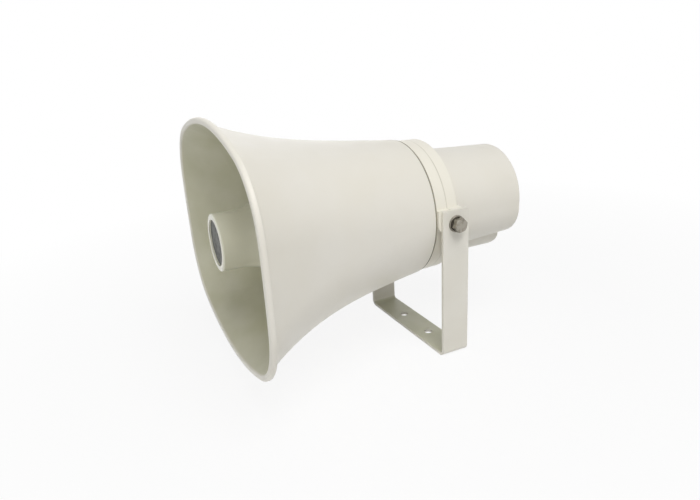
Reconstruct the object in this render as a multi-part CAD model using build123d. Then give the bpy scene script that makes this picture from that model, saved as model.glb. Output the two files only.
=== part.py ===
from build123d import *
import math
import os

# Horn loudspeaker for outdoor announcements, on a folded U bracket.
# Millimetres. The origin is the centre of the bracket's base, on its underside. +Z is up, the mouth
# faces -Y, and the bracket's legs stand at -X and +X. The horn's axis runs along Y above the origin.

# Bracket, folded from one strip
strip_width = 30.0
strip_thickness = 3.0
bend_radius = 3.5
pivot_height = 143.0
leg_above_pivot = 14.0
leg_corner_radius = 2.5
base_hole_spacing = 52.0
base_hole_radius = 4.5

# Horn axis and mouth
axis_above_pivot = 1.8
mouth_y = -215.0
mouth_half_width = 143.5
mouth_half_height = 114.0
mouth_corner_radius = 68.5
top_arc_half_angle = 19.6
side_arc_half_angle = 3.7
rim_width = 5.0
rim_depth = 6.0
rim_rounding = 2.4

# Bell
bell_wall = 3.0
bell_rear_y = -19.0
bell_overhang = 1.8
bell_rear_rounding = 0.8
height_gain = 19.6
height_flare = 3.63
width_gain = 26.4
width_flare = 2.66
bell_stations = 10
bell_flange_overlap = 2.0
bell_flange_thickness = 3.0

# Collar between bell and rear cover
seam_gasket_thickness = 1.0
seam_gasket_inset = 2.0
bell_screw_count = 4
bell_screw_length = 16.0
bell_screw_boss_radius = 6.2
collar_rear_y = 7.8
collar_edge_radius = 0.8
collar_front_rounding = 1.2
collar_step_y = -4.5
collar_step = 0.4
collar_wall = 3.0
collar_floor_depth = 6.0
channel_width = 10.8
sound_trough_inner_radius = 18.0
sound_trough_depth = 11.0
trough_floor_thickness = 3.0
hub_front_height = 3.0
hub_rear_radius = 28.0
driver_well_clearance = 5.5
driver_well_step = 7.0

# Lugs that carry the pivot bolts
lug_stand_off = 4.45
lug_above_pivot = 14.0
lug_below_pivot = 8.5
lug_setback = 0.3
lug_wall = 1.8
lug_rear_y = 13.0
lug_corner_radius = 4.0
lug_front_corner_radius = 8.0
leg_running_gap = 0.25

# Pivot hardware
bolt_radius = 4.0
bolt_head_width = 13.0
bolt_head_height = 5.3
bolt_head_chamfer_depth = 0.8
bolt_head_chamfer_width = 1.4
bolt_head_turn = 12.0
bolt_reach = 14.0
bolt_running_clearance = 0.06
thread_clearance = 0.05
insert_radius = 6.0
insert_length = 14.0
washer_radius = 8.4
washer_thickness = 1.6
washer_rounding = 0.5
spring_washer_radius = 7.4
spring_washer_thickness = 2.1
spring_washer_split = 1.4
spring_washer_split_angle = 20.0

# Throat tube and reflector
throat_radius = 9.5
throat_end_radius = 13.5
throat_wall = 2.5
throat_end_wall = 2.0
throat_front_y = -188.0
throat_flange_radius = 24.0
throat_flange_thickness = 3.0
cup_front_y = -217.0
cup_radius = 27.7
cup_recess_radius = 22.2
cup_recess_depth = 3.0
cup_straight_length = 19.0
cup_rounding = 1.6
skirt_gap = 7.0
skirt_rear_y = -62.0
skirt_knee = (0.28, 0.17)
skirt_middle = (0.78, 0.5)
reflector_wall = 2.5
disc_thickness = 1.2
disc_clearance = 0.2
pillar_radius = 4.5
pillar_inset = 5.0
pillar_count = 3
pillar_seat_height = 5.0
pillar_screw_grip = 9.0

# Rear cover: a tapered can, flattened below, with a housing along its underside
cover_round_posts = 8.4
cover_taper = 4.6
cover_flank_height = 8.6
cover_flattening = 19.9
cover_rear_y = 100.7
cover_wall = 2.5
cover_edge_radius = 1.2
cover_seat_depth = 3.0
cover_seat_clearance = 0.3
cover_gasket_thickness = 1.0
housing_half_width = 30.0
housing_stand_off = 14.4
housing_rear_y = 91.0
housing_edge_radius = 14.0
post_radius = 3.5
post_clearance = 0.5
post_count = 4
cover_screw_length = 14.0

# Driver
driver_radius = 40.5
driver_cap_thickness = 12.0
driver_flange_width = 12.5
chamber_clearance = 0.8
diaphragm_setback = 3.0
top_plate_thickness = 6.0
magnet_inset = 6.0
magnet_bore_clearance = 6.0
magnet_thickness = 15.0
magnet_chamfer = 1.0
back_plate_thickness = 6.0
coil_stand_off = 1.0
pole_vent_radius = 4.0
gap_width = 1.8
coil_thickness = 0.7
coil_length = 9.0
dome_height = 5.0
dome_thickness = 0.4
surround_width = 6.0
surround_land = 3.0
surround_crest = 1.2
surround_thickness = 0.4
clamp_ring_thickness = 1.5
clamp_ring_width = 4.5
clamp_ring_lip = 2.0
driver_screw_inset = 2.7
driver_screw_count = 4
driver_screw_grip = 7.0

# Line transformer and terminals on the back of the driver
core_inset = 16.5
core_stack = 18.0
winding_depth = 32.0
winding_clearance = 0.3
winding_corner_radius = 2.5
transformer_drop = 12.0
transformer_sheet = 1.2
transformer_standoff = 4.0
transformer_web_height = 26.0
transformer_screw_inset = 7.0
transformer_screw_length = 6.0
terminal_width = 32.0
terminal_height = 11.0
terminal_depth = 12.0
terminal_inset = 9.5
terminal_count = 4
terminal_screw_radius = 1.8
terminal_screw_recess = 1.5
terminal_recess_margin = 1.0
terminal_slot_width = 0.6
terminal_slot_length = 5.4
terminal_corner_radius = 1.0

# Cable entry in the rear wall
grommet_radius = 9.0
grommet_groove_radius = 7.0
grommet_bore_radius = 3.5
grommet_flange = 2.5
grommet_clearance = 1.1

# Pan head screws
small_screw_radius = 1.5
small_screw_head_radius = 2.7
small_screw_head_height = 2.0
large_screw_radius = 2.0
large_screw_head_radius = 3.5
large_screw_head_height = 2.4
screw_clearance = 0.2
blind_hole_run_out = 2.0

# First place on a circle of screws, posts or pillars, in degrees from +X
diagonal_angle = 45.0
upright_angle = 90.0

small_screw = (small_screw_radius, small_screw_head_radius, small_screw_head_height)
large_screw = (large_screw_radius, large_screw_head_radius, large_screw_head_height)
driver_well_radius = driver_radius + driver_well_clearance
sound_trough_outer_radius = driver_well_radius + driver_well_step
channel_inner_radius = sound_trough_outer_radius + collar_wall
channel_outer_radius = channel_inner_radius + channel_width
collar_radius = channel_outer_radius + collar_wall
bell_bore_radius = collar_radius + bell_overhang - bell_wall
bell_flange_inner_radius = channel_inner_radius - bell_flange_overlap
lug_outer_x = collar_radius + lug_stand_off
lug_inner_x = lug_outer_x - insert_length - lug_wall
bracket_width = 2 * (lug_outer_x + leg_running_gap + strip_thickness)
driver_screw_circle_radius = driver_radius - driver_screw_inset
chamber_radius = driver_radius - driver_flange_width
dome_radius = chamber_radius - surround_land - surround_width
pole_radius = dome_radius - coil_stand_off
magnet_radius = driver_radius - magnet_inset
magnet_bore_radius = pole_radius + magnet_bore_clearance
core_limb = (driver_radius - core_inset) / 3
core_width = 6 * core_limb
core_height = 5 * core_limb
terminal_rise = magnet_radius - magnet_chamfer - terminal_inset
pillar_circle_radius = driver_well_radius - pillar_inset
skirt_radius = sound_trough_outer_radius - skirt_gap
post_circle_radius = driver_radius + post_radius + post_clearance
cover_rear_radius = post_circle_radius + cover_round_posts
cover_lower_corner_radius = cover_rear_radius - cover_flattening
cover_bottom = cover_flank_height + cover_lower_corner_radius
housing_bottom = cover_bottom + housing_stand_off
grommet_drop = cover_bottom - cover_wall - grommet_radius - grommet_clearance
axis_height = pivot_height + axis_above_pivot
collar_front_y = bell_rear_y + seam_gasket_thickness
cover_front_y = collar_rear_y - cover_seat_depth + cover_gasket_thickness
driver_cap_rear_y = collar_rear_y + driver_cap_thickness
diaphragm_y = driver_cap_rear_y - diaphragm_setback
clamp_ring_radius = chamber_radius + clamp_ring_width
top_plate_rear_y = driver_cap_rear_y + top_plate_thickness
magnet_rear_y = top_plate_rear_y + magnet_thickness
back_plate_rear_y = magnet_rear_y + back_plate_thickness
gap_outer_radius = pole_radius + gap_width
core_front_y = back_plate_rear_y + transformer_standoff + (winding_depth - core_stack) / 2
trough_floor_y = collar_front_y + sound_trough_depth + trough_floor_thickness
pillar_seat_y = collar_front_y + pillar_seat_height
standing = (Align.CENTER, Align.CENTER, Align.MIN)


def on_axis(shape):
    """Moves a shape drawn about the Y axis up to the horn's axis."""
    return Pos(0, 0, axis_height) * shape


def turned(outline):
    """Turns a closed outline, drawn as radius and y, about the horn's axis."""
    return on_axis(revolve(make_face(outline), Axis.Y))


def ring(outer_radius, inner_radius, front_y, rear_y):
    """Ring about the horn's axis, or a disc where the inner radius is zero."""
    inner_edge = [(inner_radius, rear_y), (inner_radius, front_y)]
    outer_edge = [(outer_radius, front_y), (outer_radius, rear_y)]
    return turned(Polyline(*inner_edge, *outer_edge, close=True))


def rod(radius, front_y, rear_y, place):
    """Round bar along Y at a place given as x and height above the horn's axis."""
    bar = Cylinder(radius, rear_y - front_y, rotation=(-90, 0, 0), align=standing)
    return Pos(place[0], front_y, axis_height + place[1]) * bar


def around(count, radius, first_angle):
    """Places on a circle about the horn's axis, each as x and height above the axis."""
    angles = [math.radians(first_angle + 360 * number / count) for number in range(count)]
    return [(radius * math.cos(angle), radius * math.sin(angle)) for angle in angles]


def block(width, depth, height, front_y, low_z):
    """Box centred on X, from its front face and its underside's height above the horn's axis."""
    box = Box(width, depth, height, align=(Align.CENTER, Align.MIN, Align.MIN))
    return Pos(0, front_y, axis_height + low_z) * box


def screw(size, head_front_y, length, place, points_rear):
    """Pan head screw along Y with its head's seat at head_front_y."""
    shank_radius, head_radius, head_height = size
    if points_rear:
        head = rod(head_radius, head_front_y - head_height, head_front_y, place)
        rim = head.edges().group_by(Axis.Y)[0]
        shank = rod(shank_radius, head_front_y, head_front_y + length, place)
    else:
        head = rod(head_radius, head_front_y, head_front_y + head_height, place)
        rim = head.edges().group_by(Axis.Y)[-1]
        shank = rod(shank_radius, head_front_y - length, head_front_y, place)
    return fillet(rim, head_height / 2) + shank


def group(solids):
    """Several separate like pieces as one node."""
    return Compound([piece.solid() for piece in solids])


def oval(half_width, half_height, corner_radius, y):
    """Face across the axis whose top, side and corner arcs meet in tangents."""
    top = math.radians(top_arc_half_angle)
    side = math.radians(side_arc_half_angle)
    tall = half_height - corner_radius
    wide = half_width - corner_radius
    share = math.sin(side) * math.sin(top) - (1 - math.cos(top)) * (1 - math.cos(side))
    side_extra = (tall * math.sin(top) - wide * (1 - math.cos(top))) / share
    top_extra = (wide * math.sin(side) - tall * (1 - math.cos(side))) / share
    centre = Vector(top_extra * math.sin(top), side_extra * math.sin(side))
    middle = (math.pi / 2 - top + side) / 2
    upper = centre + Vector(corner_radius * math.sin(top), corner_radius * math.cos(top))
    knee = centre + Vector(corner_radius * math.cos(middle), corner_radius * math.sin(middle))
    flank = centre + Vector(corner_radius * math.cos(side), corner_radius * math.sin(side))
    edges = [
        ThreePointArc((-upper.X, upper.Y), (0, half_height), (upper.X, upper.Y)),
        ThreePointArc((upper.X, upper.Y), (knee.X, knee.Y), (flank.X, flank.Y)),
        ThreePointArc((flank.X, flank.Y), (half_width, 0), (flank.X, -flank.Y)),
        ThreePointArc((flank.X, -flank.Y), (knee.X, -knee.Y), (upper.X, -upper.Y)),
        ThreePointArc((upper.X, -upper.Y), (0, -half_height), (-upper.X, -upper.Y)),
        ThreePointArc((-upper.X, -upper.Y), (-knee.X, -knee.Y), (-flank.X, -flank.Y)),
        ThreePointArc((-flank.X, -flank.Y), (-half_width, 0), (-flank.X, flank.Y)),
        ThreePointArc((-flank.X, flank.Y), (-knee.X, knee.Y), (-upper.X, upper.Y)),
    ]
    across = Plane(origin=(0, y, axis_height), x_dir=(1, 0, 0), z_dir=(0, -1, 0))
    return across * make_face(edges)


def flared(wall, front_y):
    """Loft from the round rear of the bell to the oval mouth, thicker than the bore by wall."""
    length = bell_rear_y - mouth_y
    width_rest = mouth_half_width - rim_width - bell_bore_radius - width_gain
    height_rest = mouth_half_height - rim_width - bell_bore_radius - height_gain
    sections = []
    for station in range(bell_stations):
        y = bell_rear_y + (front_y - bell_rear_y) * station / (bell_stations - 1)
        share = (bell_rear_y - y) / length
        width = bell_bore_radius + width_gain * share + width_rest * share**width_flare
        height = bell_bore_radius + height_gain * share + height_rest * share**height_flare
        corner = bell_bore_radius + (mouth_corner_radius - rim_width - bell_bore_radius) * share
        sections.append(oval(width + wall, height + wall, corner + wall, y))
    return loft(sections)


def mouth_rim():
    """Rounded plate round the mouth, before the bore is cut through it."""
    rear_face = oval(mouth_half_width, mouth_half_height, mouth_corner_radius, mouth_y + rim_depth)
    plate = extrude(rear_face, rim_depth)
    front = plate.edges().group_by(Axis.Y)[0]
    rear = plate.edges().group_by(Axis.Y)[-1]
    return fillet(front + rear, rim_rounding)


def bell_screw_places():
    return around(bell_screw_count, (channel_inner_radius + channel_outer_radius) / 2, diagonal_angle)


def horn_bell():
    """Moulded bell: flared wall, rounded rim and the inner flange that the screws hold."""
    bell = flared(bell_wall, mouth_y + rim_depth / 2)
    bell = fillet(bell.faces().sort_by(Axis.Y)[-1].edges(), bell_rear_rounding) + mouth_rim()
    bell -= flared(0, mouth_y)
    flange_y = bell_rear_y - bell_flange_thickness
    bell += ring(bell_bore_radius + bell_wall / 2, bell_flange_inner_radius, flange_y, bell_rear_y)
    for place in bell_screw_places():
        bell -= rod(large_screw_radius + screw_clearance, flange_y, bell_rear_y, place)
    front = bell.faces().sort_by(Axis.Y)[0]
    return fillet(front.inner_wires()[0].edges(), rim_rounding / 2)


def bell_gasket():
    gasket = ring(collar_radius - seam_gasket_inset, bell_flange_inner_radius, bell_rear_y, collar_front_y)
    for place in bell_screw_places():
        gasket -= rod(large_screw_radius + screw_clearance, bell_rear_y, collar_front_y, place)
    return gasket


def bell_screws():
    seat = bell_rear_y - bell_flange_thickness
    return group([screw(large_screw, seat, bell_screw_length, place, True) for place in bell_screw_places()])


def collar_wall_section():
    """Half section of the collar: rim, channel behind the bell's flange, sound trough and hub."""
    throat = throat_radius + throat_wall + screw_clearance
    flange = throat_flange_radius + screw_clearance
    flange_seat_y = collar_rear_y - throat_flange_thickness
    channel_y = collar_rear_y - collar_floor_depth
    hub_front_y = collar_front_y - hub_front_height
    rear_band_radius = collar_radius - collar_step
    trough_middle = (sound_trough_inner_radius + sound_trough_outer_radius) / 2
    trough = ThreePointArc(
        (sound_trough_inner_radius, collar_front_y),
        (trough_middle, collar_front_y + sound_trough_depth),
        (sound_trough_outer_radius, collar_front_y),
    )
    rim_and_channel = Polyline(
        (sound_trough_outer_radius, collar_front_y),
        (channel_inner_radius, collar_front_y),
        (channel_inner_radius, channel_y),
        (channel_outer_radius, channel_y),
        (channel_outer_radius, collar_front_y),
        (collar_radius - collar_front_rounding, collar_front_y),
    )
    front_rounding = RadiusArc(
        (collar_radius - collar_front_rounding, collar_front_y),
        (collar_radius, collar_front_y + collar_front_rounding),
        -collar_front_rounding,
    )
    side = Polyline(
        (collar_radius, collar_front_y + collar_front_rounding),
        (collar_radius, collar_step_y),
        (rear_band_radius, collar_step_y + collar_step),
        (rear_band_radius, collar_rear_y - collar_edge_radius),
    )
    shoulder = RadiusArc(
        (rear_band_radius, collar_rear_y - collar_edge_radius),
        (rear_band_radius - collar_edge_radius, collar_rear_y),
        -collar_edge_radius,
    )
    rear_and_hub = Polyline(
        (rear_band_radius - collar_edge_radius, collar_rear_y),
        (driver_well_radius, collar_rear_y),
        (driver_well_radius, trough_floor_y),
        (hub_rear_radius, trough_floor_y),
        (hub_rear_radius, collar_rear_y),
        (flange, collar_rear_y),
        (flange, flange_seat_y),
        (throat, flange_seat_y),
        (throat, hub_front_y),
        (sound_trough_inner_radius, hub_front_y),
        (sound_trough_inner_radius, collar_front_y),
    )
    return [trough, rim_and_channel, front_rounding, side, shoulder, rear_and_hub]


def can_outline(offset):
    """Half circle above the axis, straight flanks and a flat bottom with round corners below it."""
    radius = cover_rear_radius + offset
    corner = cover_lower_corner_radius + offset
    bottom = cover_flank_height + corner
    upper = Circle(radius) & Rectangle(2 * radius, radius, align=(Align.CENTER, Align.MIN))
    lower = Rectangle(2 * radius, bottom, align=(Align.CENTER, Align.MAX))
    return upper + fillet(lower.vertices().group_by(Axis.Y)[0], corner)


def cover_outline(offset):
    """Outline of the rear cover's front edge: the can with the squarer housing below it."""
    can = can_outline(cover_taper + offset)
    housing = Rectangle(2 * (housing_half_width + offset), housing_bottom + offset,
                        align=(Align.CENTER, Align.MAX))
    low = housing.vertices().group_by(Axis.Y)[0]
    return can + fillet(low, housing_edge_radius + offset)


def cover_slab(offset, front_y, rear_y):
    """Slab with the rear cover's outline between two planes across the axis."""
    across = Plane(origin=(0, rear_y, axis_height), x_dir=(1, 0, 0), z_dir=(0, -1, 0))
    return extrude(across * cover_outline(offset), rear_y - front_y)


def post_places():
    return around(post_count, post_circle_radius, diagonal_angle)


def driver_screw_places():
    return around(driver_screw_count, driver_screw_circle_radius, diagonal_angle)


def pillar_places():
    return around(pillar_count, pillar_circle_radius, upright_angle)


def lug():
    """Block on the +X side that carries the insert for the pivot bolt."""
    front_y = collar_front_y + lug_setback
    size = (lug_outer_x - lug_inner_x, lug_rear_y - front_y, lug_above_pivot + lug_below_pivot)
    body = Box(*size, align=(Align.MIN, Align.MIN, Align.MIN))
    corners = body.edges().filter_by(Axis.X).group_by(Axis.Y)
    front_low = corners[0].sort_by(Axis.Z)[0]
    body = fillet(front_low, lug_front_corner_radius)
    body = fillet(body.edges().filter_by(Axis.X).group_by(Axis.Y)[-1], lug_corner_radius)
    return Pos(lug_inner_x, front_y, pivot_height - lug_below_pivot) * body


def pivot_bar(radius, inner_x, outer_x):
    """Round bar on the pivot's axis on the +X side."""
    bar = Cylinder(radius, outer_x - inner_x, rotation=(0, 90, 0), align=standing)
    return Pos(inner_x, 0, pivot_height) * bar


def both_sides(piece):
    return [piece, mirror(piece, about=Plane.YZ)]


def horn_base():
    """Moulded collar with the sound trough, pivot lugs, screw bosses and the posts for the cover."""
    base = turned(collar_wall_section())
    base -= cover_slab(cover_seat_clearance, collar_rear_y - cover_seat_depth, collar_rear_y)
    channel_y = collar_rear_y - collar_floor_depth
    for piece in both_sides(lug()):
        base += piece
    for place in bell_screw_places():
        base += rod(bell_screw_boss_radius, collar_front_y, channel_y, place)
    for place in pillar_places():
        base += rod(pillar_radius, pillar_seat_y, trough_floor_y, place)
    for place in driver_screw_places():
        base += rod(small_screw_radius + collar_wall, trough_floor_y, collar_rear_y, place)
    for place in post_places():
        base += rod(post_radius, channel_y, cover_rear_y - cover_wall, place)
    screw_end_y = cover_rear_y - cover_screw_length
    for piece in both_sides(pivot_bar(insert_radius, lug_outer_x - insert_length, lug_outer_x)):
        base -= piece
    for place in bell_screw_places():
        base -= rod(large_screw_radius + thread_clearance, collar_front_y, channel_y, place)
    for place in pillar_places():
        base -= rod(large_screw_radius + screw_clearance, pillar_seat_y, trough_floor_y, place)
    for place in driver_screw_places():
        base -= rod(small_screw_radius + thread_clearance, trough_floor_y, collar_rear_y, place)
    for place in post_places():
        hole_end_y = screw_end_y - blind_hole_run_out
        base -= rod(large_screw_radius + thread_clearance, hole_end_y, cover_rear_y, place)
    return base


def throat_tube():
    """Tube that leads the sound forward from the driver, with the flange that the driver clamps."""
    flange_seat_y = collar_rear_y - throat_flange_thickness
    outline = Polyline(
        (throat_radius, collar_rear_y),
        (throat_flange_radius, collar_rear_y),
        (throat_flange_radius, flange_seat_y),
        (throat_radius + throat_wall, flange_seat_y),
        (throat_radius + throat_wall, collar_front_y - hub_front_height),
        (throat_end_radius + throat_end_wall, throat_front_y),
        (throat_end_radius, throat_front_y),
        close=True,
    )
    return turned(outline)


def skirt_curve(offset):
    """Outer line of the reflector behind its straight front, moved inwards by offset."""
    start_y = cup_front_y + cup_straight_length
    rise = skirt_radius - cup_radius
    run = skirt_rear_y - start_y
    return Spline(
        (cup_radius - offset, start_y),
        (cup_radius - offset + skirt_knee[0] * rise, start_y + skirt_knee[1] * run),
        (cup_radius - offset + skirt_middle[0] * rise, start_y + skirt_middle[1] * run),
        (skirt_radius - offset, skirt_rear_y),
        tangents=[(0, 1), (0, 1)],
    )


def reflector():
    """Cup that turns the sound back over the throat tube, with its recessed front and pillars."""
    floor_front_y = cup_front_y + cup_recess_depth
    floor_rear_y = floor_front_y + reflector_wall
    hole_end_y = pillar_seat_y - pillar_screw_grip - blind_hole_run_out
    start_y = cup_front_y + cup_straight_length
    outer = skirt_curve(0)
    inner = skirt_curve(reflector_wall)
    front = Polyline(
        (cup_radius - reflector_wall, start_y),
        (cup_radius - reflector_wall, floor_rear_y),
        (0, floor_rear_y),
        (0, floor_front_y),
        (cup_recess_radius, floor_front_y),
        (cup_recess_radius, cup_front_y),
        (cup_radius - cup_rounding, cup_front_y),
    )
    rounding = RadiusArc((cup_radius - cup_rounding, cup_front_y), (cup_radius, cup_front_y + cup_rounding),
                         -cup_rounding)
    side = Line((cup_radius, cup_front_y + cup_rounding), (cup_radius, start_y))
    rear = Line((skirt_radius, skirt_rear_y), (skirt_radius - reflector_wall, skirt_rear_y))
    cup = turned([inner, front, rounding, side, outer, rear])
    for place in pillar_places():
        cup += rod(pillar_radius, skirt_rear_y - 2 * pillar_radius, pillar_seat_y, place)
    for place in pillar_places():
        cup -= rod(large_screw_radius + thread_clearance, hole_end_y, pillar_seat_y, place)
    return cup


def reflector_disc():
    """Plain disc that closes the recess in the reflector's front."""
    floor_front_y = cup_front_y + cup_recess_depth
    return ring(cup_recess_radius - disc_clearance, 0, floor_front_y - disc_thickness, floor_front_y)


def reflector_screws():
    length = trough_floor_y - pillar_seat_y + pillar_screw_grip
    return group([screw(large_screw, trough_floor_y, length, place, False) for place in pillar_places()])


def driver_cap():
    """Front of the driver: throat opening, domed chamber and flange for the screws."""
    clamp_seat_y = driver_cap_rear_y - clamp_ring_thickness
    chamber_y = diaphragm_y - surround_crest - chamber_clearance
    outline = Polyline(
        (throat_radius, collar_rear_y),
        (driver_radius, collar_rear_y),
        (driver_radius, driver_cap_rear_y),
        (clamp_ring_radius, driver_cap_rear_y),
        (clamp_ring_radius, clamp_seat_y),
        (chamber_radius, clamp_seat_y),
        (dome_radius + surround_width, chamber_y),
        (dome_radius, chamber_y),
        (throat_radius, diaphragm_y - dome_height),
        close=True,
    )
    cap = turned(outline)
    for place in driver_screw_places():
        cap -= rod(small_screw_radius + screw_clearance, collar_rear_y, driver_cap_rear_y, place)
    return cap


def clamp_ring():
    """Ring that holds the edge of the surround on the top plate."""
    front_y = driver_cap_rear_y - clamp_ring_thickness + surround_thickness
    outer_radius = clamp_ring_radius - screw_clearance
    return ring(outer_radius, chamber_radius - clamp_ring_lip, front_y, driver_cap_rear_y)


def top_plate():
    plate = ring(driver_radius, gap_outer_radius, driver_cap_rear_y, top_plate_rear_y)
    for place in driver_screw_places():
        plate -= rod(small_screw_radius + screw_clearance, driver_cap_rear_y, top_plate_rear_y, place)
    return plate


def magnet():
    body = ring(magnet_radius, magnet_bore_radius, top_plate_rear_y, magnet_rear_y)
    outer = body.edges().filter_by(GeomType.CIRCLE).sort_by(SortBy.RADIUS)[-2:]
    return chamfer(outer, magnet_chamfer)


def back_plate():
    """Back plate and pole, turned from one piece."""
    outline = Polyline(
        (pole_vent_radius, driver_cap_rear_y),
        (pole_radius, driver_cap_rear_y),
        (pole_radius, magnet_rear_y),
        (magnet_radius - magnet_chamfer, magnet_rear_y),
        (magnet_radius - magnet_chamfer, back_plate_rear_y),
        (pole_vent_radius, back_plate_rear_y),
        close=True,
    )
    plate = turned(outline)
    for place in transformer_screw_places():
        plate -= rod(small_screw_radius + thread_clearance, magnet_rear_y, back_plate_rear_y, place)
    return plate


def driver_screws():
    length = top_plate_rear_y - collar_rear_y + driver_screw_grip
    places = driver_screw_places()
    return group([screw(small_screw, top_plate_rear_y, length, place, False) for place in places])


def diaphragm():
    """Domed diaphragm, convex towards the throat, with the flat edge that carries the coil."""
    top_y = diaphragm_y - dome_height
    rear_y = diaphragm_y + dome_thickness
    outer = TangentArc((0, top_y), (dome_radius, diaphragm_y), tangent=(1, 0))
    inner = TangentArc((0, top_y + dome_thickness), (dome_radius, rear_y), tangent=(1, 0))
    crown = Line((0, top_y), (0, top_y + dome_thickness))
    edge = Line((dome_radius, diaphragm_y), (dome_radius, rear_y))
    return turned([outer, edge, inner, crown])


def voice_coil():
    seat_y = diaphragm_y + dome_thickness
    middle = (pole_radius + gap_outer_radius) / 2
    return ring(middle + coil_thickness / 2, middle - coil_thickness / 2, seat_y, seat_y + coil_length)


def surround():
    """Thin ring with one raised corrugation between the dome and the clamp ring."""
    seat_y = diaphragm_y
    edge_y = driver_cap_rear_y - clamp_ring_thickness
    inner = dome_radius
    outer = dome_radius + surround_width
    held = clamp_ring_radius - screw_clearance
    top = ThreePointArc((inner, seat_y), ((inner + outer) / 2, seat_y - surround_crest), (outer, edge_y))
    low = ThreePointArc((inner, seat_y + surround_thickness),
                        ((inner + outer) / 2, seat_y - surround_crest + surround_thickness),
                        (outer, edge_y + surround_thickness))
    flat = Polyline((outer, edge_y), (held, edge_y), (held, edge_y + surround_thickness),
                    (outer, edge_y + surround_thickness))
    bond = Line((inner, seat_y), (inner, seat_y + surround_thickness))
    return turned([top, flat, low, bond])


def transformer_screw_places():
    reach = core_width / 2 - transformer_screw_inset
    return [(-reach, 0), (reach, 0)]


def transformer_core():
    """Stack of plates with two windows round the middle limb."""
    low = -transformer_drop - core_height / 2
    stack = block(core_width, core_stack, core_height, core_front_y, low)
    window_width = (core_width - 4 * core_limb) / 2
    window_height = core_height - 2 * core_limb
    for side in (-1, 1):
        window = Pos(side * (core_limb + window_width / 2), 0, 0) * block(
            window_width, core_stack, window_height, core_front_y, low + core_limb)
        stack -= window
    return stack


def transformer_coil():
    """Winding on its bobbin, round the middle limb and through both windows."""
    window_width = (core_width - 4 * core_limb) / 2
    window_height = core_height - 2 * core_limb - 2 * winding_clearance
    low = -transformer_drop - window_height / 2
    width = 2 * (core_limb + window_width - winding_clearance)
    front_y = core_front_y - (winding_depth - core_stack) / 2
    body = block(width, winding_depth, window_height, front_y, low)
    body = fillet(body.edges().filter_by(Axis.Z), winding_corner_radius)
    limb = block(2 * (core_limb + winding_clearance), core_stack + 2 * winding_clearance, window_height,
                 core_front_y - winding_clearance, low)
    return body - limb


def transformer_bracket():
    """Folded sheet: a web screwed to the driver and two cheeks that grip the core."""
    low = -transformer_drop - transformer_web_height / 2
    width = core_width + 2 * transformer_sheet
    depth = core_front_y + core_stack - back_plate_rear_y
    outer = block(width, depth, transformer_web_height, back_plate_rear_y, low)
    outer = fillet(outer.edges().filter_by(Axis.Z).group_by(Axis.Y)[0], 2 * transformer_sheet)
    inner = block(core_width, depth, transformer_web_height, back_plate_rear_y + transformer_sheet, low)
    inner = fillet(inner.edges().filter_by(Axis.Z).group_by(Axis.Y)[0], transformer_sheet)
    folded = outer - inner
    web_rear_y = back_plate_rear_y + transformer_sheet
    for place in transformer_screw_places():
        folded -= rod(small_screw_radius + screw_clearance, back_plate_rear_y, web_rear_y, place)
    return folded


def transformer_screws():
    seat = back_plate_rear_y + transformer_sheet
    length = transformer_screw_length
    return group([screw(small_screw, seat, length, place, False) for place in transformer_screw_places()])


def terminal_places():
    pitch = terminal_width / terminal_count
    return [((number - (terminal_count - 1) / 2) * pitch, terminal_rise) for number in range(terminal_count)]


def terminal_block():
    """Insulating block with a recess for each terminal screw."""
    body = block(terminal_width, terminal_depth, terminal_height, back_plate_rear_y,
                 terminal_rise - terminal_height / 2)
    body = fillet(body.edges().filter_by(Axis.Y), terminal_corner_radius)
    rear_y = back_plate_rear_y + terminal_depth
    seat_y = rear_y - 2 * terminal_screw_recess
    for place in terminal_places():
        body -= rod(terminal_screw_radius + terminal_recess_margin, seat_y, rear_y, place)
    return body


def terminal_screws():
    seat_y = back_plate_rear_y + terminal_depth - 2 * terminal_screw_recess
    heads = []
    for place in terminal_places():
        head = rod(terminal_screw_radius, seat_y, seat_y + terminal_screw_recess, place)
        slot = Pos(place[0], seat_y + terminal_screw_recess, axis_height + place[1]) * Box(
            terminal_slot_length, terminal_screw_recess, terminal_slot_width)
        heads.append(head - slot)
    return group(heads)


def rounded_can(offset, rear_y):
    """Tapered can and housing, wider than the cover's outside by offset, up to a rear plane."""
    front_y = cover_front_y
    front = Plane(origin=(0, front_y, axis_height), x_dir=(1, 0, 0), z_dir=(0, -1, 0))
    rear = Plane(origin=(0, rear_y, axis_height), x_dir=(1, 0, 0), z_dir=(0, -1, 0))
    can = loft([front * can_outline(cover_taper + offset), rear * can_outline(offset)])
    half_width = housing_half_width + offset
    bottom = housing_bottom + offset
    rounding = housing_edge_radius + offset
    housing = block(2 * half_width, housing_rear_y + offset - front_y, bottom, front_y, -bottom)
    low = housing.edges().filter_by(Axis.Y).group_by(Axis.Z)[0]
    end = housing.edges().group_by(Axis.Y)[-1].filter_by(Axis.X).group_by(Axis.Z)[0]
    return can, fillet(low + end, rounding)


def rear_cover():
    """Moulded cover over the driver, with screw recesses and the cable hole in its rear wall."""
    can, housing = rounded_can(0, cover_rear_y)
    cover = fillet(can.faces().sort_by(Axis.Y)[-1].edges(), cover_edge_radius) + housing
    for hollow in rounded_can(-cover_wall, cover_rear_y - cover_wall):
        cover -= hollow
    for place in post_places():
        cover -= rod(large_screw_radius + screw_clearance, cover_rear_y - cover_wall, cover_rear_y, place)
    cover -= rod(grommet_groove_radius, cover_rear_y - cover_wall, cover_rear_y, (0, -grommet_drop))
    return cover


def cover_gasket():
    """Flat gasket under the front edge of the rear cover."""
    gasket = cover_slab(0, collar_rear_y - cover_seat_depth, cover_front_y)
    return gasket - cover_slab(-cover_wall, collar_rear_y - cover_seat_depth, cover_front_y)


def cover_screws():
    length = cover_screw_length
    return group([screw(large_screw, cover_rear_y, length, place, False) for place in post_places()])


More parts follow.
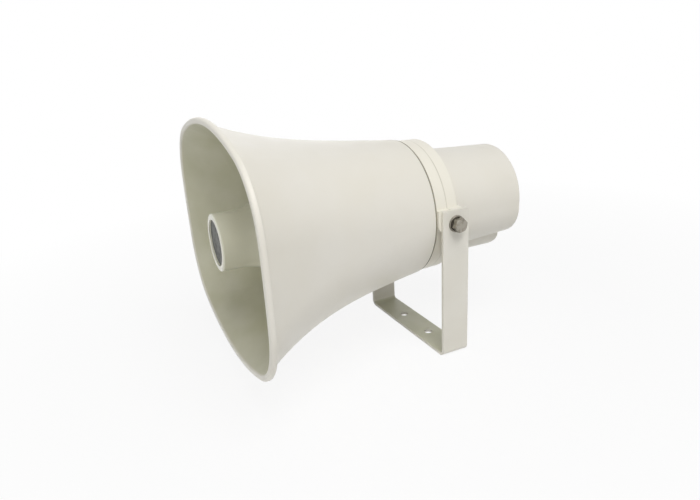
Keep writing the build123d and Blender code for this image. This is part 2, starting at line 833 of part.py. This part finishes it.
def cable_grommet():
    """Rubber grommet gripping the edge of the cable hole."""
    inner_y = cover_rear_y - cover_wall
    place = (0, -grommet_drop)
    body = rod(grommet_groove_radius, inner_y, cover_rear_y, place)
    outside = rod(grommet_radius, cover_rear_y, cover_rear_y + grommet_flange, place)
    outside = fillet(outside.edges().group_by(Axis.Y)[-1], grommet_flange / 2)
    inside = rod(grommet_radius, inner_y - grommet_flange, inner_y, place)
    bore = rod(grommet_bore_radius, inner_y - grommet_flange, cover_rear_y + grommet_flange, place)
    return body + outside + inside - bore


def bracket():
    """U bracket folded from one strip, with two holes in its base and one in each leg."""
    height = pivot_height + leg_above_pivot
    outer = Box(bracket_width, strip_width, height, align=standing)
    outer = fillet(outer.edges().filter_by(Axis.Y).group_by(Axis.Z)[0], bend_radius + strip_thickness)
    inner = Box(bracket_width - 2 * strip_thickness, strip_width, height, align=standing)
    inner = fillet(inner.edges().filter_by(Axis.Y).group_by(Axis.Z)[0], bend_radius)
    strip = outer - Pos(0, 0, strip_thickness) * inner
    strip = fillet(strip.edges().filter_by(Axis.X).group_by(Axis.Z)[-1], leg_corner_radius)
    for side in (-1, 1):
        hole = Cylinder(base_hole_radius, strip_thickness, align=standing)
        strip -= Pos(side * base_hole_spacing / 2, 0, 0) * hole
    for leg_hole in both_sides(pivot_bar(bolt_radius + bolt_running_clearance,
                                         bracket_width / 2 - 2 * strip_thickness, bracket_width / 2)):
        strip -= leg_hole
    return strip


def pivot_inserts():
    """Threaded brass inserts moulded into the lugs."""
    inner_x = lug_outer_x - insert_length
    body = pivot_bar(insert_radius, inner_x, lug_outer_x)
    body -= pivot_bar(bolt_radius + thread_clearance, inner_x, lug_outer_x)
    return group(both_sides(body))


def flat_washers():
    seat_x = bracket_width / 2 + leg_running_gap
    washer = pivot_bar(washer_radius, seat_x, seat_x + washer_thickness)
    washer = fillet(washer.edges().filter_by(GeomType.CIRCLE).group_by(Axis.X)[-1], washer_rounding)
    washer -= pivot_bar(bolt_radius + screw_clearance, seat_x, seat_x + washer_thickness)
    return group(both_sides(washer))


def spring_washers():
    """Split washers between the flat washers and the bolt heads."""
    seat_x = bracket_width / 2 + leg_running_gap + washer_thickness
    washer = pivot_bar(spring_washer_radius, seat_x, seat_x + spring_washer_thickness)
    washer -= pivot_bar(bolt_radius + screw_clearance, seat_x, seat_x + spring_washer_thickness)
    split = Box(2 * spring_washer_thickness, spring_washer_split, spring_washer_radius,
                align=(Align.CENTER, Align.CENTER, Align.MIN), rotation=(0, 0, spring_washer_split_angle))
    split = Pos(seat_x + spring_washer_thickness / 2, 0, pivot_height + bolt_radius / 2) * split
    return group(both_sides(washer - split))


def pivot_bolts():
    """Hexagon head bolts on which the horn tilts."""
    seat_x = bracket_width / 2 + leg_running_gap + washer_thickness + spring_washer_thickness
    corner_radius = bolt_head_width / math.sqrt(3)
    across = Plane(origin=(seat_x, 0, pivot_height), x_dir=(0, 1, 0), z_dir=(1, 0, 0))
    head = extrude(across * RegularPolygon(corner_radius, 6, rotation=bolt_head_turn), bolt_head_height)
    rounder = pivot_bar(corner_radius, seat_x, seat_x + bolt_head_height)
    outer_edge = rounder.edges().filter_by(GeomType.CIRCLE).group_by(Axis.X)[-1]
    rounder = chamfer(outer_edge, bolt_head_chamfer_depth, bolt_head_chamfer_width)
    shank = pivot_bar(bolt_radius, bracket_width / 2 - strip_thickness - bolt_reach, seat_x)
    return group(both_sides((head & rounder) + shank))


sub_parts = {
    "bracket": bracket,
    "horn_bell": horn_bell,
    "bell_gasket": bell_gasket,
    "bell_screws": bell_screws,
    "horn_base": horn_base,
    "throat_tube": throat_tube,
    "reflector": reflector,
    "reflector_disc": reflector_disc,
    "reflector_screws": reflector_screws,
    "driver_cap": driver_cap,
    "clamp_ring": clamp_ring,
    "top_plate": top_plate,
    "magnet": magnet,
    "back_plate": back_plate,
    "driver_screws": driver_screws,
    "diaphragm": diaphragm,
    "surround": surround,
    "voice_coil": voice_coil,
    "transformer_core": transformer_core,
    "transformer_coil": transformer_coil,
    "transformer_bracket": transformer_bracket,
    "transformer_screws": transformer_screws,
    "terminal_block": terminal_block,
    "terminal_screws": terminal_screws,
    "rear_cover": rear_cover,
    "cover_gasket": cover_gasket,
    "cover_screws": cover_screws,
    "cable_grommet": cable_grommet,
    "pivot_inserts": pivot_inserts,
    "flat_washers": flat_washers,
    "spring_washers": spring_washers,
    "pivot_bolts": pivot_bolts,
}

os.makedirs("parts", exist_ok=True)
for name, make in sub_parts.items():
    export_step(make(), f"parts/{name}.step")
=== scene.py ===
import math

import bpy
from mathutils import Matrix, Vector


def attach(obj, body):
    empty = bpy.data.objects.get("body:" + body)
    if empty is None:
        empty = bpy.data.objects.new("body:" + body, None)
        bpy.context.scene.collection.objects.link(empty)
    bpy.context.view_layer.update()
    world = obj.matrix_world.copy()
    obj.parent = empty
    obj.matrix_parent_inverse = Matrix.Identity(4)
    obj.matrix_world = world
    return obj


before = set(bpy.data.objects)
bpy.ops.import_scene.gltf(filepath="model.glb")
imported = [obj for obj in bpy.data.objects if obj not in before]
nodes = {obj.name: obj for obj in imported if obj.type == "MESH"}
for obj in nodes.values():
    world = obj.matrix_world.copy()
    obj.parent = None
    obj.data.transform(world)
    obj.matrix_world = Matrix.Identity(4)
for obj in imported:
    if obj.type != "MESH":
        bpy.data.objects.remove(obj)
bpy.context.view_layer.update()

# Photograph: its size, and the pixel that shows the pivot
PHOTO_WIDTH, PHOTO_HEIGHT = 700, 500
PIVOT_PIXEL = (413.58, 206.18)

# Camera: focal length in pixels of the photograph, directions in radians, distance to the pivot in metres
SENSOR_WIDTH = 36.0
FOCAL_PIXELS = 581.6
VIEW_AZIMUTH = math.radians(65.04)
VIEW_ELEVATION = math.radians(19.80)
VIEW_ROLL = math.radians(-3.40)
VIEW_DISTANCE = 0.6298
NEAR_CLIP = 0.01

# Places on the part, in metres
PIVOT = Vector((0.0, 0.0, 0.143))
HORN_AXIS = Vector((0.0, 0.0, 0.1448))
MIDDLE = Vector((0.0, -0.06, 0.13))
RIM_FRONT_Y = -0.215
RIM_TINT_Y = (RIM_FRONT_Y + 0.0008, RIM_FRONT_Y + 0.0022)
THROAT_Y = (-0.10, -0.09)
COLLAR_STEP_Y = -0.0045
BASE_TOP_Z = (0.005, 0.014)
SEAM_Y = -0.0181
SEAM_RADIUS = 0.0703
BEAD_RADIUS = 0.0010

# Lamps: azimuth and elevation in degrees, distance and size in metres, power in watts
LAMPS = {
    "top_key": (85.0, 58.0, 1.3, 0.9, 11.2),
    "side_fill": (103.0, 25.0, 1.3, 0.8, 0.6),
    "low_fill": (60.0, 15.0, 1.5, 0.9, 0.8),
    "front_fill": (15.0, 10.0, 1.6, 1.2, 3.5),
    "mouth_fill": (335.0, 30.0, 1.6, 1.2, 1.6),
    "back_fill": (255.0, 10.0, 1.6, 1.0, 1.5),
}
WORLD_LIGHT = 0.21

# Floor: sizes in metres, and its share of plain white where it is near the part
FLOOR_HALF_SIZE = 3.0
FLOOR_DROP = 0.0005
FLOOR_FADE = (0.25, 0.75)
FLOOR_WHITENESS = 0.885

# Colours, in linear light
WHITE = (1.0, 1.0, 1.0, 1.0)
PAPER = (0.86, 0.86, 0.86, 1.0)
IVORY = (0.815, 0.787, 0.715, 1.0)
IVORY_AGED = (0.785, 0.752, 0.66, 1.0)
# Painted shade: the deeper olive tint of the bell's inside and of the throat tube
IVORY_PAINTED_SHADE = (0.54, 0.53, 0.38, 1.0)
CUP_IVORY = (0.84, 0.825, 0.69, 1.0)
CUP_AGED = (0.80, 0.785, 0.64, 1.0)
COLLAR_IVORY = (0.865, 0.835, 0.745, 1.0)
COLLAR_AGED = (0.835, 0.80, 0.695, 1.0)
# Painted shade: the faint dark line along the collar's step
COLLAR_STEP_SHADE = (0.52, 0.49, 0.39, 1.0)
PAINT = (0.80, 0.775, 0.70, 1.0)
PAINT_AGED = (0.765, 0.735, 0.65, 1.0)
# Painted shade: olive tint of the base's upper face, which lies under the horn
PAINT_SHADED_BASE = (0.585, 0.585, 0.445, 1.0)
PAINT_PIT = (0.50, 0.47, 0.39, 1.0)
STEEL = (0.37, 0.345, 0.295, 1.0)
STEEL_STAINED = (0.23, 0.21, 0.175, 1.0)
# Painted shade: the spring washers' near-black colour stands for the shade they sit in behind the bolt
# heads
SPRING_SHADE_STEEL = (0.115, 0.105, 0.09, 1.0)
SPRING_SHADE_STAINED = (0.06, 0.055, 0.045, 1.0)
ZINC = (0.56, 0.57, 0.58, 1.0)
ZINC_STAINED = (0.42, 0.42, 0.43, 1.0)
BRASS = (0.72, 0.50, 0.20, 1.0)
BRASS_STAINED = (0.50, 0.33, 0.12, 1.0)
RUBBER = (0.075, 0.070, 0.050, 1.0)
RUBBER_BLOOM = (0.15, 0.14, 0.11, 1.0)
# Painted shade: the dark bead in the seam's groove between the bell and the collar
SEAM_SHADE = (0.28, 0.26, 0.20, 1.0)
SEAM_SHADE_BLOOM = (0.40, 0.375, 0.30, 1.0)
DISC = (0.105, 0.108, 0.096, 1.0)
DISC_BLOTCH = (0.045, 0.047, 0.043, 1.0)
DISC_GRAIN = (0.24, 0.24, 0.225, 1.0)
BLACK_PLASTIC = (0.022, 0.022, 0.024, 1.0)
BROWN_PLASTIC = (0.035, 0.020, 0.013, 1.0)
FERRITE = (0.030, 0.030, 0.033, 1.0)
FERRITE_CHIP = (0.075, 0.072, 0.070, 1.0)
VARNISH = (0.10, 0.085, 0.07, 1.0)
PLATE_EDGE = (0.30, 0.27, 0.24, 1.0)
TAPE = (0.62, 0.40, 0.06, 1.0)
TAPE_LAP = (0.44, 0.26, 0.03, 1.0)
WIRE_GAP = (0.25, 0.09, 0.04, 1.0)
WIRE = (0.72, 0.34, 0.16, 1.0)
CLOTH_GAP = (0.26, 0.14, 0.05, 1.0)
CLOTH = (0.50, 0.32, 0.14, 1.0)

# Values of a noise texture: the span of most of it, and the span that leaves wide patches full
NOISE_SPAN = (0.3, 0.7)
PATCH_SPAN = (0.3, 0.6)

# Where a mask fades in: the part of a face's normal along +Y, -Y or +Z, and for FACES_AXIS the metres
# from the horn's axis times the outward part of the normal
FACES_REAR = (0.05, 0.20)
FACES_FRONT = (-0.5, -0.7)
FACES_UP = (0.2, 0.7)
FACES_AXIS = (0.004, -0.004)


def scaled(colour, factor):
    return tuple(factor * part for part in colour[:3]) + (1.0,)


class Shader:
    """A material's node tree with short calls for the nodes used here."""

    def __init__(self, name):
        self.material = bpy.data.materials.new(name)
        self.material.use_nodes = True
        self.tree = self.material.node_tree
        self.surface = self.tree.nodes["Principled BSDF"]
        coordinates = self.add("ShaderNodeTexCoord").outputs
        self.place, self.normal = coordinates["Object"], coordinates["Normal"]

    def add(self, kind, **settings):
        node = self.tree.nodes.new(kind)
        for key, value in settings.items():
            setattr(node, key, value)
        return node

    def link(self, source, target):
        self.tree.links.new(source, target)

    def set(self, **values):
        for key, value in values.items():
            self.surface.inputs[key.replace("_", " ")].default_value = value

    def fill(self, socket, value):
        """Gives a socket a number, or links it to another node's output."""
        if isinstance(value, bpy.types.NodeSocket):
            self.link(value, socket)
        else:
            socket.default_value = value

    def split(self, vector):
        """X, Y and Z of a vector, by name."""
        parts = self.add("ShaderNodeSeparateXYZ")
        self.link(vector, parts.inputs[0])
        return parts.outputs

    def combined(self, operation, first, second):
        """Node that works on a vector output and a second output or fixed vector."""
        node = self.add("ShaderNodeVectorMath", operation=operation)
        self.link(first, node.inputs[0])
        self.fill(node.inputs[1], second)
        return node

    def stretched(self, scale, centre=(0, 0, 0)):
        """Object position measured from centre, with its own scale along each axis."""
        moved = self.combined("SUBTRACT", self.place, centre).outputs[0]
        return self.combined("MULTIPLY", moved, scale).outputs[0]

    def noise(self, scale, detail=4.0, place=None):
        node = self.add("ShaderNodeTexNoise")
        self.link(place or self.place, node.inputs["Vector"])
        node.inputs["Scale"].default_value = scale
        node.inputs["Detail"].default_value = detail
        return node.outputs["Fac"]

    def cells(self, scale):
        """Distance to the nearest of many scattered points."""
        node = self.add("ShaderNodeTexVoronoi")
        self.link(self.place, node.inputs["Vector"])
        node.inputs["Scale"].default_value = scale
        return node.outputs["Distance"]

    def bands(self, scale, direction, distortion=0.0):
        """Even stripes across one axis."""
        node = self.add("ShaderNodeTexWave", wave_type="BANDS", bands_direction=direction)
        return self.waves(node, self.place, scale, distortion)

    def rings(self, scale, direction, centre, distortion):
        """Even rings about an axis through centre."""
        node = self.add("ShaderNodeTexWave", wave_type="RINGS", rings_direction=direction)
        return self.waves(node, self.stretched((1, 1, 1), centre), scale, distortion)

    def waves(self, node, place, scale, distortion):
        self.link(place, node.inputs["Vector"])
        node.inputs["Scale"].default_value = scale
        node.inputs["Distortion"].default_value = distortion
        return node.outputs["Fac"]

    def ramp(self, value, low, high, first=0.0, last=1.0):
        """Value moved from the range low to high into the range first to last, and held there."""
        node = self.add("ShaderNodeMapRange", clamp=True)
        self.link(value, node.inputs["Value"])
        for key, number in (("From Min", low), ("From Max", high), ("To Min", first), ("To Max", last)):
            node.inputs[key].default_value = number
        return node.outputs["Result"]

    def maths(self, operation, first, second=0.0):
        node = self.add("ShaderNodeMath", operation=operation)
        self.fill(node.inputs[0], first)
        self.fill(node.inputs[1], second)
        return node.outputs[0]

    def mix(self, share, first, second):
        node = self.add("ShaderNodeMix", data_type="RGBA")
        self.fill(node.inputs["Factor"], share)
        self.fill(node.inputs["A"], first)
        self.fill(node.inputs["B"], second)
        return node.outputs["Result"]

    def colour(self, value):
        self.fill(self.surface.inputs["Base Color"], value)

    def colour_so_far(self):
        return self.surface.inputs["Base Color"].links[0].from_socket

    def roughness(self, value):
        self.fill(self.surface.inputs["Roughness"], value)

    def uneven_roughness(self, scale, low, high):
        """Roughness that wanders between two values, with noise of that scale."""
        self.roughness(self.ramp(self.noise(scale), *NOISE_SPAN, low, high))

    def bump(self, height, distance, strength):
        """Adds relief of that distance in metres, on top of any relief given before."""
        node = self.add("ShaderNodeBump")
        node.inputs["Strength"].default_value = strength
        node.inputs["Distance"].default_value = distance
        self.link(height, node.inputs["Height"])
        socket = self.surface.inputs["Normal"]
        if socket.is_linked:
            self.link(socket.links[0].from_socket, node.inputs["Normal"])
        self.link(node.outputs["Normal"], socket)

    def inside(self):
        """1 on the bell's inner wall and on faces at its throat that look out of it, and 0 on all others.

        The inner wall looks towards the axis and lies behind the rim's front. The back of the rim's curl
        looks towards the axis too, but also to the rear, which leaves it out.
        """
        along = self.split(self.place)["Y"]
        rearward = self.split(self.normal)["Y"]
        spoke = self.stretched((1, 0, 1), HORN_AXIS)
        outward = self.combined("DOT_PRODUCT", spoke, self.normal).outputs["Value"]
        behind_rim = self.ramp(along, *RIM_TINT_Y)
        off_curl = self.maths("MULTIPLY", behind_rim, self.ramp(rearward, *FACES_REAR, 1.0, 0.0))
        inner_wall = self.maths("MULTIPLY", self.ramp(outward, *FACES_AXIS), off_curl)
        in_throat = self.ramp(along, *THROAT_Y)
        looks_out = self.maths("MULTIPLY", self.ramp(rearward, *FACES_FRONT), in_throat)
        return self.maths("MAXIMUM", inner_wall, looks_out)

    def on_base(self):
        """Near 1 on the upper face of the bracket's base, where shade is painted, and 0 on all other
        faces.
        """
        low = self.ramp(self.split(self.place)["Z"], *BASE_TOP_Z, 1.0, 0.0)
        low_upper_face = self.maths("MULTIPLY", low, self.ramp(self.split(self.normal)["Z"], *FACES_UP))
        patches = self.ramp(self.noise(45.0), *PATCH_SPAN, 0.8, 1.0)
        return self.maths("MULTIPLY", low_upper_face, patches)


def moulded_plastic(name, fresh=IVORY, aged=IVORY_AGED, gloss=0.36):
    """Satin moulded ABS: fine eroded grain, slow changes of tint and a little sink in the surface."""
    shader = Shader(name)
    cloud = shader.ramp(shader.noise(11.0, detail=3.0), 0.35, 0.75)
    speck = shader.ramp(shader.noise(420.0, detail=2.0), 0.66, 0.80, 0.0, 0.35)
    shader.colour(shader.mix(speck, shader.mix(cloud, fresh, aged), scaled(aged, 0.93)))
    shader.uneven_roughness(60.0, gloss, gloss + 0.10)
    shader.set(IOR=1.5)
    shader.bump(shader.noise(26.0, detail=1.0), distance=0.0006, strength=0.30)
    shader.bump(shader.noise(2600.0, detail=2.0), distance=0.00004, strength=0.35)
    return shader


def bell_plastic():
    """The bell's plastic, with painted shade on its inside: a deeper, olive tint in uneven patches."""
    shader = moulded_plastic("bell_plastic")
    # Painted shade on the inner wall, in uneven patches
    shade_patches = shader.ramp(shader.noise(35.0, detail=5.0), *NOISE_SPAN, 0.75, 1.0)
    share = shader.maths("MULTIPLY", shader.inside(), shade_patches)
    shader.colour(shader.mix(share, shader.colour_so_far(), IVORY_PAINTED_SHADE))
    return shader


def collar_plastic():
    """The collar's plastic, with a faint dark line of painted shade along the step round its middle."""
    shader = moulded_plastic("collar_plastic", COLLAR_IVORY, COLLAR_AGED, 0.34)
    along = shader.split(shader.place)["Y"]
    off_step = shader.maths("ABSOLUTE", shader.maths("SUBTRACT", along, COLLAR_STEP_Y))
    line = shader.ramp(off_step, 0.0003, 0.0009, 1.0, 0.0)
    patches = shader.ramp(shader.noise(30.0), *PATCH_SPAN, 0.35, 0.8)
    shader.colour(shader.mix(shader.maths("MULTIPLY", line, patches), shader.colour_so_far(), COLLAR_STEP_SHADE))
    return shader


def powder_coat(name):
    """Baked paint on folded steel: orange peel, a few pits, a warm tint, and painted shade on the base's
    upper face.
    """
    shader = Shader(name)
    cloud = shader.ramp(shader.noise(14.0, detail=3.0), 0.35, 0.7)
    pits = shader.ramp(shader.cells(900.0), 0.0, 0.10, 1.0, 0.0)
    # Painted shade: the base's upper face takes an olive tint
    base_shaded = shader.mix(shader.on_base(), shader.mix(cloud, PAINT, PAINT_AGED), PAINT_SHADED_BASE)
    shader.colour(shader.mix(shader.maths("MULTIPLY", pits, 0.25), base_shaded, PAINT_PIT))
    shader.uneven_roughness(90.0, 0.34, 0.46)
    shader.bump(shader.noise(700.0, detail=1.0), distance=0.00010, strength=0.5)
    return shader


def worked_steel(name, colour, stained, gloss, turned_about=None):
    """Bright metal with turning marks about an axis, or with brushed grain."""
    shader = Shader(name)
    if turned_about:
        axis, centre = turned_about
        marks = shader.rings(900.0, axis, centre, distortion=0.6)
    else:
        marks = shader.noise(1.0, detail=3.0, place=shader.stretched((40, 40, 2200)))
    stain = shader.ramp(shader.noise(260.0, detail=5.0), 0.40, 0.72)
    shader.set(Metallic=1.0)
    shader.colour(shader.mix(stain, colour, stained))
    shader.uneven_roughness(500.0, gloss, gloss + 0.14)
    shader.bump(marks, distance=0.00003, strength=0.5)
    return shader


def rubber(name, colour, bloomed):
    """Matt rubber with a patchy bloom of dust."""
    shader = Shader(name)
    bloom = shader.ramp(shader.noise(150.0, detail=5.0), 0.45, 0.75, 0.0, 0.5)
    shader.colour(shader.mix(bloom, colour, bloomed))
    shader.uneven_roughness(300.0, 0.70, 0.85)
    shader.bump(shader.noise(1800.0), distance=0.00005, strength=0.5)
    return shader


def disc_coating():
    """Plain grey disc with a fine mottle, darker towards blotches."""
    shader = Shader("disc_coating")
    blotch = shader.ramp(shader.noise(170.0, detail=3.0), 0.42, 0.66)
    fine = shader.noise(1500.0)
    grain = shader.ramp(fine, 0.35, 0.65, 0.0, 0.3)
    shader.colour(shader.mix(grain, shader.mix(blotch, DISC, DISC_BLOTCH), DISC_GRAIN))
    shader.roughness(shader.ramp(blotch, 0.0, 1.0, 0.50, 0.62))
    shader.set(Specular_IOR_Level=0.3)
    shader.bump(fine, distance=0.00003, strength=0.4)
    return shader


def dark_moulding(name, colour):
    """Black or brown insulating plastic with a satin skin."""
    shader = Shader(name)
    cloud = shader.ramp(shader.noise(90.0), 0.4, 0.7)
    shader.colour(shader.mix(cloud, colour, scaled(colour, 1.7)))
    shader.uneven_roughness(400.0, 0.35, 0.50)
    shader.bump(shader.noise(1600.0), distance=0.00004, strength=0.4)
    return shader


def ferrite():
    """Ground ceramic magnet with small chips and a matt, grainy skin."""
    shader = Shader("ferrite")
    chips = shader.ramp(shader.cells(240.0), 0.05, 0.16, 1.0, 0.0)
    shader.colour(shader.mix(chips, FERRITE, FERRITE_CHIP))
    shader.uneven_roughness(700.0, 0.55, 0.75)
    shader.bump(shader.noise(900.0), distance=0.0001, strength=0.5)
    return shader


def core_plates():
    """Edges of the transformer's stacked plates, under brown varnish."""
    shader = Shader("core_plates")
    plates = shader.bands(320.0, "Y", distortion=0.2)
    shader.set(Metallic=0.6)
    shader.colour(shader.mix(plates, VARNISH, PLATE_EDGE))
    shader.uneven_roughness(300.0, 0.30, 0.50)
    shader.bump(plates, distance=0.0001, strength=0.7)
    return shader


def winding_tape():
    """Yellow polyester tape wound over the transformer's coil."""
    shader = Shader("winding_tape")
    laps = shader.ramp(shader.bands(28.0, "Z", distortion=0.8), 0.82, 0.98)
    creases = shader.noise(140.0)
    shader.colour(shader.mix(laps, TAPE, TAPE_LAP))
    shader.roughness(shader.ramp(creases, *NOISE_SPAN, 0.18, 0.35))
    shader.bump(creases, distance=0.0002, strength=0.5)
    return shader


def wound_wire():
    """Enamelled copper wire, one turn beside the next along the horn's axis."""
    shader = Shader("wound_wire")
    turns = shader.bands(520.0, "Y")
    shader.set(Metallic=0.9)
    shader.colour(shader.mix(turns, WIRE_GAP, WIRE))
    shader.uneven_roughness(400.0, 0.22, 0.36)
    shader.bump(turns, distance=0.0001, strength=0.8)
    return shader


def woven_film():
    """Resin-soaked cloth of the diaphragm."""
    shader = Shader("woven_film")
    threads = shader.maths("MAXIMUM", shader.bands(420.0, "X"), shader.bands(420.0, "Z"))
    shader.colour(shader.mix(threads, CLOTH_GAP, CLOTH))
    shader.roughness(shader.ramp(threads, 0.0, 1.0, 0.50, 0.35))
    shader.bump(threads, distance=0.00006, strength=0.7)
    return shader


def coat(shader, *names):
    """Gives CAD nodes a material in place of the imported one."""
    for name in names:
        for slot in nodes[name].material_slots:
            slot.material = shader.material


def dress_nodes():
    """Gives every CAD node the finish of the real piece."""
    about_bolts, about_horn = ("X", PIVOT), ("Y", HORN_AXIS)
    coat(bell_plastic(), "horn_bell")
    coat(collar_plastic(), "horn_base")
    coat(moulded_plastic("cover_plastic"), "rear_cover")
    # The throat tube's tint wanders towards the painted shade of the bell's inside
    coat(moulded_plastic("inner_plastic", IVORY_AGED, IVORY_PAINTED_SHADE), "throat_tube")
    coat(moulded_plastic("reflector_plastic", CUP_IVORY, CUP_AGED, 0.12), "reflector")
    coat(disc_coating(), "reflector_disc")
    coat(powder_coat("bracket_paint"), "bracket")
    coat(worked_steel("bolt_steel", STEEL, STEEL_STAINED, 0.26, about_bolts), "pivot_bolts")
    coat(worked_steel("washer_steel", STEEL, STEEL_STAINED, 0.30, about_bolts), "flat_washers")
    # Spring washers: steel darkened to near black as painted shade
    coat(worked_steel("spring_steel", SPRING_SHADE_STEEL, SPRING_SHADE_STAINED, 0.42), "spring_washers")
    coat(worked_steel("screw_steel", STEEL, STEEL_STAINED, 0.28),
         "bell_screws", "reflector_screws", "driver_screws", "transformer_screws", "cover_screws")
    coat(worked_steel("plate_steel", ZINC, ZINC_STAINED, 0.25, about_horn), "top_plate", "back_plate")
    coat(worked_steel("folded_steel", ZINC, ZINC_STAINED, 0.30), "transformer_bracket")
    coat(worked_steel("turned_brass", BRASS, BRASS_STAINED, 0.25, about_bolts),
         "pivot_inserts", "terminal_screws")
    coat(rubber("seal_rubber", RUBBER, RUBBER_BLOOM), "bell_gasket", "cover_gasket", "cable_grommet")
    coat(dark_moulding("driver_moulding", BLACK_PLASTIC), "driver_cap", "clamp_ring")
    coat(dark_moulding("terminal_moulding", BROWN_PLASTIC), "terminal_block")
    coat(ferrite(), "magnet")
    coat(core_plates(), "transformer_core")
    coat(winding_tape(), "transformer_coil")
    coat(wound_wire(), "voice_coil")
    coat(woven_film(), "diaphragm", "surround")


def seam_bead():
    """Dark ring in the seam between the bell and the collar, as a thin bead all round: painted shade for
    the seam's groove.
    """
    bpy.ops.mesh.primitive_torus_add(
        major_radius=SEAM_RADIUS, minor_radius=BEAD_RADIUS, major_segments=192, minor_segments=12,
        rotation=(math.radians(90.0), 0.0, 0.0))
    bead = bpy.context.object
    bead.name = "seam_bead"
    bead.location = HORN_AXIS + Vector((0.0, SEAM_Y, 0.0))
    bpy.ops.object.transform_apply()
    bpy.ops.object.shade_smooth()
    bead.data.materials.clear()
    bead.data.materials.append(rubber("seam_shade_rubber", SEAM_SHADE, SEAM_SHADE_BLOOM).material)
    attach(bead, "horn")


def direction(azimuth, elevation):
    """Unit vector from the part towards a viewer or lamp; azimuth 0 is in front of the mouth, 90 at +X."""
    return Vector((math.sin(azimuth) * math.cos(elevation), -math.cos(azimuth) * math.cos(elevation),
                   math.sin(elevation)))


def camera_from_photo():
    """Camera whose view puts the pivot on its pixel of the photograph."""
    back = direction(VIEW_AZIMUTH, VIEW_ELEVATION)
    level = Vector((math.cos(VIEW_AZIMUTH), math.sin(VIEW_AZIMUTH), 0.0))
    rise = back.cross(level)
    right = level * math.cos(VIEW_ROLL) + rise * math.sin(VIEW_ROLL)
    up = rise * math.cos(VIEW_ROLL) - level * math.sin(VIEW_ROLL)
    across = (PIVOT_PIXEL[0] - PHOTO_WIDTH / 2) / FOCAL_PIXELS * VIEW_DISTANCE
    above = (PHOTO_HEIGHT / 2 - PIVOT_PIXEL[1]) / FOCAL_PIXELS * VIEW_DISTANCE
    data = bpy.data.cameras.new("camera")
    data.sensor_width = SENSOR_WIDTH
    data.lens = FOCAL_PIXELS / PHOTO_WIDTH * SENSOR_WIDTH
    data.clip_start = NEAR_CLIP
    camera = bpy.data.objects.new("camera", data)
    place = PIVOT + back * VIEW_DISTANCE - right * across - up * above
    turn = Matrix((right, up, back)).transposed().to_4x4()
    camera.matrix_world = Matrix.Translation(place) @ turn
    bpy.context.collection.objects.link(camera)
    bpy.context.scene.camera = camera


def area_lamp(name, azimuth, elevation, distance, size, watts):
    """Soft round lamp that looks at the middle of the part."""
    away = direction(math.radians(azimuth), math.radians(elevation))
    data = bpy.data.lights.new(name, "AREA")
    data.shape = "DISK"
    data.size = size
    data.energy = watts
    lamp = bpy.data.objects.new(name, data)
    turn = away.to_track_quat("Z", "Y").to_matrix().to_4x4()
    lamp.matrix_world = Matrix.Translation(MIDDLE + away * distance) @ turn
    bpy.context.collection.objects.link(lamp)


def seen_directly(tree):
    """1 for rays from the camera, a mirror or glass, and 0 for rays that carry light."""
    path = tree.nodes.new("ShaderNodeLightPath")
    share = path.outputs["Is Camera Ray"]
    for name in ("Is Glossy Ray", "Is Transmission Ray"):
        most = tree.nodes.new("ShaderNodeMath")
        most.operation = "MAXIMUM"
        tree.links.new(share, most.inputs[0])
        tree.links.new(path.outputs[name], most.inputs[1])
        share = most.outputs[0]
    return share


def white_world():
    """White where it is seen, and weaker where it lights the part."""
    world = bpy.data.worlds.new("studio")
    world.use_nodes = True
    bpy.context.scene.world = world
    tree = world.node_tree
    background = tree.nodes["Background"]
    background.inputs["Color"].default_value = WHITE
    strength = tree.nodes.new("ShaderNodeMapRange")
    tree.links.new(seen_directly(tree), strength.inputs["Value"])
    strength.inputs["To Min"].default_value = WORLD_LIGHT
    strength.inputs["To Max"].default_value = 1.0
    tree.links.new(strength.outputs["Result"], background.inputs["Strength"])


def floor_sheet():
    """Pale floor that takes the part's shadow and fades to the background's white further out."""
    mesh = bpy.data.meshes.new("floor")
    signs = ((-1, -1), (1, -1), (1, 1), (-1, 1))
    corners = [(x * FLOOR_HALF_SIZE, y * FLOOR_HALF_SIZE, 0.0) for x, y in signs]
    mesh.from_pydata(corners, [], [(0, 1, 2, 3)])
    floor = bpy.data.objects.new("floor", mesh)
    floor.location.z = -FLOOR_DROP
    bpy.context.collection.objects.link(floor)
    shader = Shader("floor_paper")
    shader.set(Base_Color=PAPER, Roughness=0.9)
    shader.bump(shader.noise(300.0), distance=0.0002, strength=0.2)
    glow = shader.add("ShaderNodeEmission")
    glow.inputs["Color"].default_value = WHITE
    reach = shader.add("ShaderNodeVectorMath", operation="LENGTH")
    shader.link(shader.place, reach.inputs[0])
    share = shader.ramp(reach.outputs["Value"], *FLOOR_FADE, FLOOR_WHITENESS, 1.0)
    blend = shader.add("ShaderNodeMixShader")
    shader.link(shader.maths("MULTIPLY", share, seen_directly(shader.tree)), blend.inputs["Fac"])
    shader.link(shader.surface.outputs["BSDF"], blend.inputs[1])
    shader.link(glow.outputs["Emission"], blend.inputs[2])
    shader.link(blend.outputs["Shader"], shader.tree.nodes["Material Output"].inputs["Surface"])
    mesh.materials.append(shader.material)


bpy.context.scene.view_settings.view_transform = "Standard"
dress_nodes()
seam_bead()
camera_from_photo()
white_world()
for lamp_name, setting in LAMPS.items():
    area_lamp(lamp_name, *setting)
floor_sheet()
